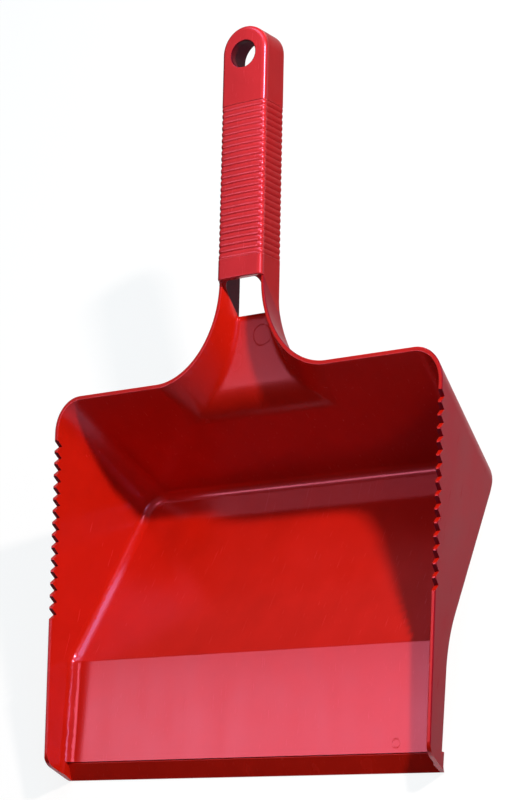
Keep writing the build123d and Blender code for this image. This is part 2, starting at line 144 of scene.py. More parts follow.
class DustpanFinish(bpy.types.PropertyGroup):
    """Colours and gloss of the red plastic."""

    tray_colour: FloatVectorProperty(
        name="Tray Colour", description="Red of the inside of the pan and its neck",
        subtype="COLOR", size=3, min=0.0, max=1.0, default=(0.47, 0.007, 0.002),
    )
    # Painted shade: the outside is the same plastic as the inside, given a deeper red for the lesser light on it
    outside_shaded_colour: FloatVectorProperty(
        name="Outside Colour", description="Deeper red of the pan's outside",
        subtype="COLOR", size=3, min=0.0, max=1.0, default=(0.19, 0.003, 0.007),
    )
    # Painted shade: a little deeper than the tray's red, for the shade on the lip's bevel
    lip_shaded_colour: FloatVectorProperty(
        name="Lip Colour", description="Red of the bevelled front lip",
        subtype="COLOR", size=3, min=0.0, max=1.0, default=(0.43, 0.007, 0.002),
    )
    # Painted light: the handle's front and the grip get a lighter, pinker red than the tray's, for the light and
    # reflection on them
    handle_lit_colour: FloatVectorProperty(
        name="Handle Colour", description="Red of the handle and the grip",
        subtype="COLOR", size=3, min=0.0, max=1.0, default=(0.52, 0.017, 0.019),
    )
    # Painted shade: the handle's sides are the same plastic as its front, given a deeper red for the light that
    # misses them
    side_shade_colour: FloatVectorProperty(
        name="Side Colour", description="Deeper red of the handle's sides",
        subtype="COLOR", size=3, min=0.0, max=1.0, default=(0.25, 0.005, 0.006),
    )
    # Painted shade: the inside of the channel and the eye's bore get a near-black red for the shade in them
    channel_shade_colour: FloatVectorProperty(
        name="Channel Colour", description="Dark red inside the handle's channel and in the hanging eye",
        subtype="COLOR", size=3, min=0.0, max=1.0, default=(0.08, 0.002, 0.004),
    )
    tray_roughness: FloatProperty(
        name="Tray Roughness", description="Roughness of the polished inside",
        subtype="FACTOR", min=0.0, max=1.0, default=0.20,
    )
    outside_roughness: FloatProperty(
        name="Outside Roughness", description="Roughness of the pan's outside and the handle's sides",
        subtype="FACTOR", min=0.0, max=1.0, default=0.38,
    )
    handle_roughness: FloatProperty(
        name="Handle Roughness", description="Roughness of the handle and the grip",
        subtype="FACTOR", min=0.0, max=1.0, default=0.24,
    )
    satin_roughness: FloatProperty(
        name="Satin Roughness", description="Roughness of the neck's inside, the front rims and the lip",
        subtype="FACTOR", min=0.0, max=1.0, default=0.25,
    )
    tray_gloss: FloatProperty(
        name="Tray Gloss", description="Strength of the reflections inside the pan",
        subtype="FACTOR", min=0.0, max=1.0, default=1.0,
    )
    outside_gloss: FloatProperty(
        name="Outside Gloss", description="Strength of the reflections on the pan's outside and the handle's sides",
        subtype="FACTOR", min=0.0, max=1.0, default=0.07,
    )
    handle_gloss: FloatProperty(
        name="Handle Gloss", description="Strength of the reflections on the handle and the grip",
        subtype="FACTOR", min=0.0, max=1.0, default=1.0,
    )
    satin_gloss: FloatProperty(
        name="Satin Gloss", description="Strength of the reflections in the neck and on the front rims and the lip",
        subtype="FACTOR", min=0.0, max=1.0, default=0.42,
    )
    gloss_tint: FloatVectorProperty(
        name="Gloss Tint", description="Rose tint of the reflections in the plastic",
        subtype="COLOR", size=3, min=0.0, max=1.0, default=(1.0, 0.22, 0.36),
    )
    outside_tint: FloatVectorProperty(
        name="Outside Tint", description="Violet tint of the reflections on the pan's outside",
        subtype="COLOR", size=3, min=0.0, max=1.0, default=(0.60, 0.35, 1.0),
    )


class DustpanGrip(bpy.types.PropertyGroup):
    """Sizes of the ribbed grip round the handle."""

    start: FloatProperty(
        name="Start", description="From the lower edge of the handle's front plate to the grip",
        unit="LENGTH", min=0.0, default=0.014, precision=4,
    )
    length: FloatProperty(
        name="Length", description="Length of the grip", unit="LENGTH", min=0.01, default=0.109, precision=4,
    )
    half_width: FloatProperty(
        name="Half Width", description="Half of the handle's width",
        unit="LENGTH", min=0.005, default=0.0182, precision=4,
    )
    depth: FloatProperty(
        name="Depth", description="Depth of the handle's side walls",
        unit="LENGTH", min=0.005, default=0.023, precision=4,
    )
    crown: FloatProperty(
        name="Crown", description="Height of the crowned front", unit="LENGTH", min=0.0, default=0.0008, precision=4,
    )
    edge_radius: FloatProperty(
        name="Edge Radius", description="Radius of the front's long edges",
        unit="LENGTH", min=0.001, default=0.0038, precision=4,
    )
    thickness: FloatProperty(
        name="Thickness", description="Thickness of the sleeve over its ribs",
        unit="LENGTH", min=0.0005, default=0.0018, precision=4,
    )
    hook: FloatProperty(
        name="Hook", description="Thickness of the sleeve's hooks under the side walls",
        unit="LENGTH", min=0.0005, default=0.0015, precision=4,
    )
    wall: FloatProperty(
        name="Wall", description="Reach of the hooks under the side walls",
        unit="LENGTH", min=0.001, default=0.004, precision=4,
    )
    rib_count: IntProperty(
        name="Ribs", description="Number of ribs along the grip", min=2, max=80, default=25,
    )
    rib_height: FloatProperty(
        name="Rib Height", description="Height of a rib over its groove",
        unit="LENGTH", min=0.0, max=0.003, default=0.0006, precision=4,
    )
    rib_gap: FloatProperty(
        name="Rib Gap", description="Width of a groove's floor between two ribs",
        unit="LENGTH", min=0.0, default=0.0002, precision=4,
    )


class DustpanStage(bpy.types.PropertyGroup):
    """Camera and light of the studio."""

    camera_place: FloatVectorProperty(
        name="Camera Place", description="Where the camera stands",
        subtype="TRANSLATION", unit="LENGTH", size=3, default=(0.81546, -0.72083, 1.06588),
    )
    camera_view: FloatVectorProperty(
        name="Camera View", description="Direction the camera looks along",
        subtype="DIRECTION", size=3, default=(-0.55548, 0.48960, -0.67212),
    )
    camera_up: FloatVectorProperty(
        name="Camera Up", description="Direction that is up in the picture",
        subtype="DIRECTION", size=3, default=(0.11374, 0.84543, 0.52184),
    )
    lens: FloatProperty(
        name="Lens", description="Focal length of the camera",
        unit="CAMERA", min=10.0, max=300.0, default=99.193,
    )
    key_power: FloatProperty(
        name="Key Power", description="Power of the key lamp", unit="POWER", min=0.0, default=32.0,
    )
    softbox_power: FloatProperty(
        name="Softbox Power", description="Power of the softbox that the ramp mirrors",
        unit="POWER", min=0.0, default=6.3,
    )
    ceiling_power: FloatProperty(
        name="Ceiling Power", description="Power of the soft fill from overhead",
        unit="POWER", min=0.0, default=5.5,
    )
    window_power: FloatProperty(
        name="Window Power", description="Power of the window light behind the handle",
        unit="POWER", min=0.0, default=15.0,
    )
    strip_power: FloatProperty(
        name="Strip Power", description="Power of the strip lamp at the right", unit="POWER", min=0.0, default=4.0,
    )
    ambient: FloatProperty(
        name="Ambient", description="Level of the light from all round", min=0.0, default=0.03,
    )
    floor_radius: FloatProperty(
        name="Floor Radius", description="Radius of the round studio floor",
        unit="LENGTH", min=0.3, default=0.80,
    )
    floor_white: FloatProperty(
        name="Floor White", description="How far the floor's shadow fades to white as it is seen",
        subtype="FACTOR", min=0.0, max=1.0, default=0.75,
    )


def new_group(name, inputs, outputs):
    """An empty shader node group with named sockets."""
    group = bpy.data.node_groups.new(name, "ShaderNodeTree")
    for label, kind in inputs:
        group.interface.new_socket(label, in_out="INPUT", socket_type=kind)
    for label, kind in outputs:
        group.interface.new_socket(label, in_out="OUTPUT", socket_type=kind)
    return group, group.nodes.new("NodeGroupInput"), group.nodes.new("NodeGroupOutput")


def maths(tree, operation, first, second=0.0, clamp=False):
    """A Math node's result for one or two sockets or numbers."""
    node = tree.nodes.new("ShaderNodeMath")
    node.operation = operation
    node.use_clamp = clamp
    for socket, value in zip(node.inputs, (first, second)):
        if isinstance(value, (int, float)):
            socket.default_value = value
        else:
            tree.links.new(value, socket)
    return node.outputs[0]


def ranged(tree, value, low, high, to_low=0.0, to_high=1.0):
    """A value's smooth step from one range to another."""
    node = tree.nodes.new("ShaderNodeMapRange")
    node.interpolation_type = "SMOOTHSTEP"
    tree.links.new(value, node.inputs["Value"])
    node.inputs["From Min"].default_value = low
    node.inputs["From Max"].default_value = high
    node.inputs["To Min"].default_value = to_low
    node.inputs["To Max"].default_value = to_high
    return node.outputs["Result"]


def noise(tree, vector, scale, detail, stretch=None, turn=0.0):
    """A noise pattern, with a stretch and a turn about Z where they are given."""
    if stretch:
        mapping = tree.nodes.new("ShaderNodeMapping")
        mapping.inputs["Scale"].default_value = stretch
        mapping.inputs["Rotation"].default_value = (0.0, 0.0, turn)
        tree.links.new(vector, mapping.inputs["Vector"])
        vector = mapping.outputs["Vector"]
    node = tree.nodes.new("ShaderNodeTexNoise")
    tree.links.new(vector, node.inputs["Vector"])
    node.inputs["Scale"].default_value = scale
    node.inputs["Detail"].default_value = detail
    return maths(tree, "SUBTRACT", node.outputs["Fac"], 0.5)


def moulded_skin():
    """Colour, gloss and fine relief of moulded plastic: clouds, flow lines, scratches, grain and rubbed edges."""
    if "moulded_skin" in bpy.data.node_groups:
        return bpy.data.node_groups["moulded_skin"]
    number = "NodeSocketFloat"
    group, given, made = new_group(
        "moulded_skin",
        (
            ("Coordinates", "NodeSocketVector"), ("Colour", "NodeSocketColor"), ("Roughness", number),
            ("Edge", number), ("Mottle", number), ("Grain", number), ("Peel", number),
        ),
        (("Colour", "NodeSocketColor"), ("Roughness", number), ("Height", number)),
    )
    place = given.outputs["Coordinates"]
    clouds = noise(group, place, scale=45.0, detail=3.0)
    flow = noise(group, place, scale=1.0, detail=4.0, stretch=(75.0, 8.0, 45.0))
    grain = noise(group, place, scale=900.0, detail=2.0)
    peel = noise(group, place, scale=85.0, detail=1.0)
    scratch_field = noise(group, place, scale=1.0, detail=2.0, stretch=(1500.0, 26.0, 260.0), turn=radians(28))
    scratches = ranged(group, scratch_field, low=0.17, high=0.27)
    # Colour: clouds and flow lines, paler where an edge is rubbed
    both = maths(group, "ADD", clouds, maths(group, "MULTIPLY", flow, 0.7))
    tone = maths(group, "ADD", maths(group, "MULTIPLY", both, given.outputs["Mottle"]), 1.0)
    toned = group.nodes.new("ShaderNodeHueSaturation")
    group.links.new(given.outputs["Colour"], toned.inputs["Color"])
    group.links.new(tone, toned.inputs["Value"])
    rubbed = group.nodes.new("ShaderNodeHueSaturation")
    rubbed.inputs["Saturation"].default_value = 0.96
    rubbed.inputs["Value"].default_value = 1.10
    group.links.new(toned.outputs["Color"], rubbed.inputs["Color"])
    patchy = ranged(group, clouds, low=-0.12, high=0.12, to_low=0.35)
    worn = maths(group, "MULTIPLY", given.outputs["Edge"], patchy)
    blend = group.nodes.new("ShaderNodeMix")
    blend.data_type = "RGBA"
    group.links.new(worn, blend.inputs["Factor"])
    group.links.new(toned.outputs["Color"], blend.inputs["A"])
    group.links.new(rubbed.outputs["Color"], blend.inputs["B"])
    group.links.new(blend.outputs["Result"], made.inputs["Colour"])
    # Roughness: streaks along the flow, hairline scratches and matt edges
    streaks = maths(group, "ADD", maths(group, "MULTIPLY", flow, 0.5), maths(group, "MULTIPLY", scratches, 0.8))
    dull = maths(group, "ADD", maths(group, "MULTIPLY", clouds, 0.4), maths(group, "ADD", streaks, 1.0))
    gloss = maths(group, "MULTIPLY", given.outputs["Roughness"], dull)
    gloss = maths(group, "ADD", gloss, maths(group, "MULTIPLY", worn, 0.08), clamp=True)
    group.links.new(gloss, made.inputs["Roughness"])
    # Height, in units of relief
    fine = maths(group, "MULTIPLY", grain, given.outputs["Grain"])
    broad = maths(group, "MULTIPLY", peel, given.outputs["Peel"])
    relief = maths(group, "SUBTRACT", maths(group, "ADD", fine, broad), maths(group, "MULTIPLY", scratches, 0.06))
    group.links.new(relief, made.inputs["Height"])
    return group


def ejector_mark():
    """Mask of the fine ring that an ejector pin leaves."""
    if "ejector_mark" in bpy.data.node_groups:
        return bpy.data.node_groups["ejector_mark"]
    group, given, made = new_group(
        "ejector_mark",
        (
            ("Coordinates", "NodeSocketVector"), ("Centre", "NodeSocketVector"),
            ("Radius", "NodeSocketFloat"), ("Width", "NodeSocketFloat"),
        ),
        (("Mask", "NodeSocketFloat"),),
    )
    gap = group.nodes.new("ShaderNodeVectorMath")
    gap.operation = "DISTANCE"
    group.links.new(given.outputs["Coordinates"], gap.inputs[0])
    group.links.new(given.outputs["Centre"], gap.inputs[1])
    past_ring = maths(group, "SUBTRACT", gap.outputs["Value"], given.outputs["Radius"])
    off_ring = maths(group, "ABSOLUTE", past_ring)
    share = maths(group, "DIVIDE", off_ring, given.outputs["Width"])
    group.links.new(ranged(group, share, low=0.0, high=1.0, to_low=1.0, to_high=0.0), made.inputs["Mask"])
    return group


def placed_group(tree, group, **values):
    """A node that places a group, with its numbers and colours set by input name."""
    node = tree.nodes.new("ShaderNodeGroup")
    node.node_tree = group
    for name, value in values.items():
        node.inputs[name].default_value = value
    return node


def soft_corners(tree, place, true_normal, radius):
    """The normal of a surface whose inner corners are rounded, from a little under the rim downwards."""
    rounded = tree.nodes.new("ShaderNodeBevel")
    rounded.samples = 8
    rounded.inputs["Radius"].default_value = radius
    under = tree.nodes.new("ShaderNodeVectorMath")
    under.operation = "SUBTRACT"
    tree.links.new(place, under.inputs[0])
    under.inputs[1].default_value = RIM_FRAME.translation
    depth = tree.nodes.new("ShaderNodeVectorMath")
    depth.operation = "DOT_PRODUCT"
    tree.links.new(under.outputs["Vector"], depth.inputs[0])
    depth.inputs[1].default_value = RIM_FRAME.to_3x3() @ Vector((0.0, 0.0, -1.0))
    blend = tree.nodes.new("ShaderNodeMix")
    blend.data_type = "VECTOR"
    tree.links.new(ranged(tree, depth.outputs["Value"], low=0.005, high=0.014), blend.inputs["Factor"])
    vectors = [socket for socket in blend.inputs if socket.type == "VECTOR" and socket.name in "AB"]
    tree.links.new(true_normal, vectors[0])
    tree.links.new(rounded.outputs["Normal"], vectors[1])
    return next(socket for socket in blend.outputs if socket.type == "VECTOR")


def red_plastic(name, colour, roughness, gloss, tint, mottle, grain, marks=(), sides=None, soft=0.0):
    """Red moulded plastic with its own gloss, relief, ejector marks and soft corners, and a second, deeper red
    painted on its sides as shade.
    """
    material = bpy.data.materials.new(name)
    material.use_nodes = True
    tree = material.node_tree
    shader = tree.nodes["Principled BSDF"]
    shader.inputs["Specular IOR Level"].default_value = gloss
    shader.inputs["Specular Tint"].default_value = (*tint, 1.0)
    place = tree.nodes.new("ShaderNodeTexCoord").outputs["Object"]
    # Edges stand out where the rounded normal leaves the true one
    rounded = tree.nodes.new("ShaderNodeBevel")
    rounded.samples = 4
    rounded.inputs["Radius"].default_value = EDGE_WEAR_RADIUS
    true_normal = tree.nodes.new("ShaderNodeNewGeometry").outputs["Normal"]
    alike = tree.nodes.new("ShaderNodeVectorMath")
    alike.operation = "DOT_PRODUCT"
    tree.links.new(rounded.outputs["Normal"], alike.inputs[0])
    tree.links.new(true_normal, alike.inputs[1])
    edge = ranged(tree, alike.outputs["Value"], low=0.80, high=0.99, to_low=1.0, to_high=0.0)
    skin = placed_group(
        tree, moulded_skin(), Colour=(*colour, 1.0), Roughness=roughness, Mottle=mottle, Grain=grain, Peel=PEEL,
    )
    tree.links.new(place, skin.inputs["Coordinates"])
    tree.links.new(edge, skin.inputs["Edge"])
    # Painted shade: faces that turn to the side fade to the deeper side red
    if sides:
        ways = tree.nodes.new("ShaderNodeSeparateXYZ")
        tree.links.new(true_normal, ways.inputs[0])
        side_shade_mask = ranged(tree, maths(tree, "ABSOLUTE", ways.outputs["X"]), low=0.85, high=0.99)
        lit_and_shaded_reds = tree.nodes.new("ShaderNodeMix")
        lit_and_shaded_reds.data_type = "RGBA"
        lit_and_shaded_reds.inputs["A"].default_value = (*colour, 1.0)
        lit_and_shaded_reds.inputs["B"].default_value = (*sides, 1.0)
        tree.links.new(side_shade_mask, lit_and_shaded_reds.inputs["Factor"])
        tree.links.new(lit_and_shaded_reds.outputs["Result"], skin.inputs["Colour"])
    height = skin.outputs["Height"]
    for centre, radius, depth in marks:
        mark = placed_group(tree, ejector_mark(), Centre=centre, Radius=radius, Width=RING_WIDTH)
        tree.links.new(place, mark.inputs["Coordinates"])
        height = maths(tree, "SUBTRACT", height, maths(tree, "MULTIPLY", mark.outputs["Mask"], depth))
    bump = tree.nodes.new("ShaderNodeBump")
    bump.inputs["Strength"].default_value = 1.0
    bump.inputs["Distance"].default_value = RELIEF_UNIT
    tree.links.new(height, bump.inputs["Height"])
    if soft:
        tree.links.new(soft_corners(tree, place, true_normal, soft), bump.inputs["Normal"])
    tree.links.new(skin.outputs["Colour"], shader.inputs["Base Color"])
    tree.links.new(skin.outputs["Roughness"], shader.inputs["Roughness"])
    tree.links.new(bump.outputs["Normal"], shader.inputs["Normal"])
    return material


def new_piece(name, data):
    """A new object at the origin."""
    piece = bpy.data.objects.new(name, data)
    bpy.context.scene.collection.objects.link(piece)
    return piece


def bake(piece):
    """Turns a piece and its modifiers into a plain mesh."""
    graph = bpy.context.evaluated_depsgraph_get()
    mesh = bpy.data.meshes.new_from_object(piece.evaluated_get(graph))
    piece.modifiers.clear()
    piece.data = mesh
    return piece


def shade(shape, angle):
    """Smooth faces, with sharp edges where they turn by more than an angle."""
    for face in shape.faces:
        face.smooth = True
    for edge in shape.edges:
        edge.smooth = len(edge.link_faces) == 2 and edge.calc_face_angle(0.0) < angle


def merged_copy(node, name, materials, dress=None):
    """A merged copy of a solid with smooth rounds and flat faces, which stands for the solid."""
    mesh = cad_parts[node].data.copy()
    mesh.name = name
    mesh.materials.clear()
    for material in materials:
        mesh.materials.append(material)
    shape = bmesh.new()
    shape.from_mesh(mesh)
    bmesh.ops.remove_doubles(shape, verts=shape.verts, dist=MERGE_DISTANCE)
    bmesh.ops.dissolve_limit(
        shape, angle_limit=FLAT_ANGLE, verts=shape.verts, edges=shape.edges, delimit=set(),
    )
    for face in shape.faces:
        face.material_index = 0
    if dress:
        dress(shape)
    bmesh.ops.dissolve_degenerate(shape, dist=SLIVER, edges=shape.edges)
    shade(shape, SHARP_ANGLE)
    shape.to_mesh(mesh)
    shape.free()
    if mesh.attributes.get("custom_normal"):
        mesh.attributes.remove(mesh.attributes["custom_normal"])
    piece = new_piece(name, mesh)
    weighted = piece.modifiers.new("Flat Faces", "WEIGHTED_NORMAL")
    weighted.mode = "FACE_AREA"
    weighted.weight = 50
    weighted.keep_sharp = True
    bake(piece)
    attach(piece, "root")
    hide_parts(node)
    return piece


def within(spot, box):
    """Whether a spot lies inside a box."""
    return all(low < value < high for low, value, high in zip(box[0], spot, box[1]))


def neck_corners(shape):
    """The edges in the inner corners between the neck's back plate and its side walls."""
    corners = []
    for edge in shape.edges:
        ends = [TO_RIM @ vert.co for vert in edge.verts]
        in_neck = all(within(end, NECK_CORNERS) for end in ends)
        inner = all(abs(end.x) < PLATE_HALF or end.y < FLARE_TOP for end in ends)
        if in_neck and inner and len(edge.link_faces) == 2:
            facing = all(face.normal.dot(OUT_OF_RIM) > 0.05 for face in edge.link_faces)
            if facing and edge.calc_face_angle_signed(0.0) < radians(-20):
                corners.append(edge)
    return corners


def pan_skin(middle, normal):
    """Which skin a face of the pan has, from its middle and its normal."""
    side = 1.0 if middle.x > 0.0 else -1.0
    # The outside faces get the deeper red of painted shade
    if normal.x * side > 0.3 or normal.y > 0.7 or normal.z < -0.2:
        return OUTSIDE
    spot = TO_RIM @ middle
    way = TO_RIM.to_3x3() @ normal
    # The teeth's front faces get the outside's deeper red, which is painted shade
    if within(spot, COMB_TEETH) and way.y < -0.3:
        return OUTSIDE
    # The plain front of the side rims is satin, as the neck is
    if within(spot, FRONT_RIMS) and way.z > 0.5:
        return NECK
    # The back wall reaches up into the neck and keeps its polish
    if within(spot, NECK_INSIDE) and normal.dot(BACK_WAY) < cos(radians(3)):
        return NECK
    return TRAY


def dress_pan(shape):
    """Rounds the corners of the neck's back plate and gives each face its skin."""
    bmesh.ops.bevel(
        shape, geom=neck_corners(shape), offset=NECK_ROUND, offset_type="OFFSET", segments=5, profile=0.5,
        affect="EDGES", clamp_overlap=True,
    )
    for face in shape.faces:
        face.material_index = pan_skin(face.calc_center_median(), face.normal)


def handle_skin(middle, normal):
    """Which skin a face of the handle has, from its middle and its normal."""
    spot = TO_HANDLE @ middle
    way = TO_HANDLE.to_3x3() @ normal
    from_eye = Vector((spot.x, 0.0, spot.z + EYE_PLACE))
    side = 1.0 if spot.x > 0.0 else -1.0
    bore = from_eye.length < EYE_RADIUS * 1.02 and way.dot(from_eye.normalized()) < -0.5
    under = way.y < -0.5 and spot.y > CHANNEL_FOOT
    # The channel and the bore get the near-black red of painted shade
    if bore or under or way.x * side < -0.2:
        return CHANNEL
    # The sides get the deeper red of painted shade
    if spot.y < FLANK_TOP and way.x * side > 0.5:
        return FLANK
    return FRONT


def dress_handle(shape):
    """Gives the inside of the channel, the bore of the hanging eye and the sides their own skins, whose deeper reds
    are painted shade.
    """
    for face in shape.faces:
        face.material_index = handle_skin(face.calc_center_median(), face.normal)


class DUSTPAN_OT_pan(bpy.types.Operator):
    """Dresses the pan"""

    bl_idname = "dustpan.pan"
    bl_label = "Pan"

    def execute(self, context):
        finish = context.scene.dustpan_finish
        inside = red_plastic(
            "tray_red", finish.tray_colour, finish.tray_roughness, finish.tray_gloss, finish.gloss_tint,
            mottle=0.22, grain=0.05, marks=(NECK_RING, RAMP_RING),
        )
        # Painted shade: the deeper red of the whole outside
        outside = red_plastic(
            "outside_shaded_red", finish.outside_shaded_colour, finish.outside_roughness, finish.outside_gloss,
            finish.outside_tint, mottle=0.25, grain=0.15,
        )
        neck = red_plastic(
            "neck_red", finish.tray_colour, finish.satin_roughness, finish.satin_gloss, finish.gloss_tint,
            mottle=0.22, grain=0.08, marks=(NECK_RING,), soft=NECK_SOFTNESS,
        )
        piece = merged_copy("pan", "pan_shell", (inside, outside, neck), dress_pan)
        return {"FINISHED"}


class DUSTPAN_OT_lip(bpy.types.Operator):
    """Dresses the front lip"""

    bl_idname = "dustpan.lip"
    bl_label = "Front Lip"

    def execute(self, context):
        finish = context.scene.dustpan_finish
        # Painted shade: the lip's slightly deeper red
        red = red_plastic(
            "lip_shaded_red", finish.lip_shaded_colour, finish.satin_roughness, finish.satin_gloss, finish.gloss_tint,
            mottle=0.30, grain=0.15,
        )
        piece = merged_copy("front_lip", "lip_strip", (red,))
        return {"FINISHED"}


def front_red(name, finish):
    """The glossy red of the handle's front and of the grip, lighter than the tray's red as painted light, and deeper
    as painted shade where an edge turns to the side.
    """
    return red_plastic(
        name, finish.handle_lit_colour, finish.handle_roughness, finish.handle_gloss, finish.gloss_tint,
        mottle=0.25, grain=0.20, sides=finish.side_shade_colour,
    )


def flank_shaded_red(finish):
    """The calm, deeper red of the handle's two sides, which is painted shade."""
    return red_plastic(
        "flank_shaded_red", finish.side_shade_colour, finish.outside_roughness, finish.outside_gloss, finish.gloss_tint,
        mottle=0.25, grain=0.20,
    )


class DUSTPAN_OT_handle(bpy.types.Operator):
    """Dresses the handle"""

    bl_idname = "dustpan.handle"
    bl_label = "Handle"

    def execute(self, context):
        finish = context.scene.dustpan_finish
        front = front_red("handle_red", finish)
        # Painted shade inside the channel
        inside = red_plastic(
            "channel_shaded_red", finish.channel_shade_colour, finish.outside_roughness, finish.outside_gloss,
            finish.outside_tint, mottle=0.25, grain=0.15,
        )
        piece = merged_copy("handle", "handle_channel", (front, inside, flank_shaded_red(finish)), dress_handle)
        return {"FINISHED"}


def grip_line(grip, inset, back):
    """Section of the grip at an inset: up one side, across the crowned front and down the other."""
    half = grip.half_width - inset
    radius = grip.edge_radius - inset
    reach = half - radius + radius * cos(EDGE_TURN)
    crown = []
    for step in range(CROWN_STEPS + 1):
        across = reach * step / CROWN_STEPS
        crown.append((across, -inset - grip.crown * (across / half) ** 2))
    drop = crown[-1][1] - radius * sin(EDGE_TURN)
    edge = []
    for step in range(1, EDGE_STEPS + 1):
        turn = EDGE_TURN * (1 - step / EDGE_STEPS)
        edge.append((half - radius + radius * cos(turn), drop + radius * sin(turn)))
    right = crown + edge + [(half, back)]
    return [(-x, y) for x, y in reversed(right[1:])] + right


def add_band(shape, first, last, start, length):
    """Adds a closed band that goes from one section to another, from a start and a length up the handle."""
    low = [shape.verts.new((x, y, -start)) for x, y in first]
    high = [shape.verts.new((x, y, -start - length)) for x, y in last]
    for index in range(len(first)):
        following = (index + 1) % len(first)
        shape.faces.new((low[index], low[following], high[following], high[index]))
    shape.faces.new(low)
    shape.faces.new(high)


def grip_base(grip):
    """The sleeve under the ribs, with hooks under the handle's side walls and a ramped collar at each end."""
    outer = grip_line(grip, grip.rib_height, -grip.depth)
    inner = grip_line(grip, grip.thickness, grip.hook - grip.depth)
    hook = grip.half_width - grip.wall
    section = outer + [(hook, -grip.depth), (hook, grip.hook - grip.depth)]
    section += list(reversed(inner)) + [(-hook, grip.hook - grip.depth), (-hook, -grip.depth)]
    sunk = list(reversed(grip_line(grip, grip.rib_height + SEAM, -grip.depth)))
    thick = grip_line(grip, 0.0, -grip.depth) + sunk
    thin = outer + sunk
    end = grip.start + grip.length
    shape = bmesh.new()
    add_band(shape, section, section, grip.start + SEAM, grip.length - 2 * SEAM)
    add_band(shape, thick, thin, grip.start + SEAM, COLLAR)
    add_band(shape, thin, thick, end - SEAM - COLLAR, COLLAR)
    bmesh.ops.recalc_face_normals(shape, faces=shape.faces)
    mesh = bpy.data.meshes.new("grip_ribbed")
    shape.to_mesh(mesh)
    shape.free()
    return mesh


def rib_tree():
    """Geometry nodes: arched ribs swept round the grip's section, in a row along the grip."""
    tree = bpy.data.node_groups.new("grip_ribs", "GeometryNodeTree")
    sockets = (
        ("Sleeve", "NodeSocketGeometry"), ("Section", "NodeSocketObject"), ("Ribs", "NodeSocketInt"),
        ("Start", "NodeSocketFloat"), ("Length", "NodeSocketFloat"), ("Rib Height", "NodeSocketFloat"),
        ("Rib Gap", "NodeSocketFloat"),
    )
    for label, kind in sockets:
        tree.interface.new_socket(label, in_out="INPUT", socket_type=kind)
    tree.interface.new_socket("Grip", in_out="OUTPUT", socket_type="NodeSocketGeometry")
    nodes, links = tree.nodes, tree.links
    given = nodes.new("NodeGroupInput")
    made = nodes.new("NodeGroupOutput")
    section = nodes.new("GeometryNodeObjectInfo")
    links.new(given.outputs["Section"], section.inputs["Object"])
    upright = nodes.new("GeometryNodeSetCurveNormal")
    upright.mode = "Z_UP"
    links.new(section.outputs["Geometry"], upright.inputs["Curve"])
    pitch = maths(tree, "DIVIDE", given.outputs["Length"], given.outputs["Ribs"])
    # A rib's section is a low arch, and its mirror image is sunk in the sleeve
    ring = nodes.new("GeometryNodeCurvePrimitiveCircle")
    ring.inputs["Resolution"].default_value = RIB_POINTS
    ring.inputs["Radius"].default_value = 1.0
    width = maths(tree, "MULTIPLY", maths(tree, "SUBTRACT", pitch, given.outputs["Rib Gap"]), 0.5)
    scale = nodes.new("ShaderNodeCombineXYZ")
    links.new(given.outputs["Rib Height"], scale.inputs["X"])
    links.new(width, scale.inputs["Y"])
    scale.inputs["Z"].default_value = 1.0
    ways = nodes.new("ShaderNodeSeparateXYZ")
    links.new(nodes.new("GeometryNodeInputPosition").outputs["Position"], ways.inputs[0])
    arched = nodes.new("ShaderNodeCombineXYZ")
    size = maths(tree, "ABSOLUTE", ways.outputs["X"])
    links.new(maths(tree, "MULTIPLY", ways.outputs["X"], size), arched.inputs["X"])
    links.new(ways.outputs["Y"], arched.inputs["Y"])
    arch = nodes.new("GeometryNodeSetPosition")
    links.new(ring.outputs["Curve"], arch.inputs["Geometry"])
    links.new(arched.outputs[0], arch.inputs["Position"])
    sized = nodes.new("GeometryNodeTransform")
    links.new(arch.outputs["Geometry"], sized.inputs["Geometry"])
    links.new(scale.outputs[0], sized.inputs["Scale"])
    rib = nodes.new("GeometryNodeCurveToMesh")
    rib.inputs["Fill Caps"].default_value = True
    links.new(upright.outputs["Curve"], rib.inputs["Curve"])
    links.new(sized.outputs["Geometry"], rib.inputs["Profile Curve"])
    # The row of ribs
    row = nodes.new("GeometryNodeMeshLine")
    links.new(given.outputs["Ribs"], row.inputs["Count"])
    first = nodes.new("ShaderNodeCombineXYZ")
    step = nodes.new("ShaderNodeCombineXYZ")
    first_middle = maths(tree, "ADD", given.outputs["Start"], maths(tree, "MULTIPLY", pitch, 0.5))
    links.new(maths(tree, "MULTIPLY", first_middle, -1.0), first.inputs["Z"])
    links.new(maths(tree, "MULTIPLY", pitch, -1.0), step.inputs["Z"])
    links.new(first.outputs[0], row.inputs["Start Location"])
    links.new(step.outputs[0], row.inputs["Offset"])
    ribs = nodes.new("GeometryNodeInstanceOnPoints")
    links.new(row.outputs["Mesh"], ribs.inputs["Points"])
    links.new(rib.outputs["Mesh"], ribs.inputs["Instance"])
    joined = nodes.new("GeometryNodeJoinGeometry")
    links.new(ribs.outputs["Instances"], joined.inputs["Geometry"])
    links.new(given.outputs["Sleeve"], joined.inputs["Geometry"])
    real = nodes.new("GeometryNodeRealizeInstances")
    links.new(joined.outputs["Geometry"], real.inputs["Geometry"])
    links.new(real.outputs["Geometry"], made.inputs["Grip"])
    return tree


def section_path(grip):
    """A curve along the grip's section, for the ribs to follow."""
    curve = bpy.data.curves.new("grip_section", "CURVE")
    curve.dimensions = "3D"
    points = grip_line(grip, grip.rib_height, -grip.depth)
    spline = curve.splines.new("POLY")
    spline.points.add(len(points) - 1)
    for point, (x, y) in zip(spline.points, points):
        point.co = (x, y, 0.0, 1.0)
    return new_piece("grip_section", curve)


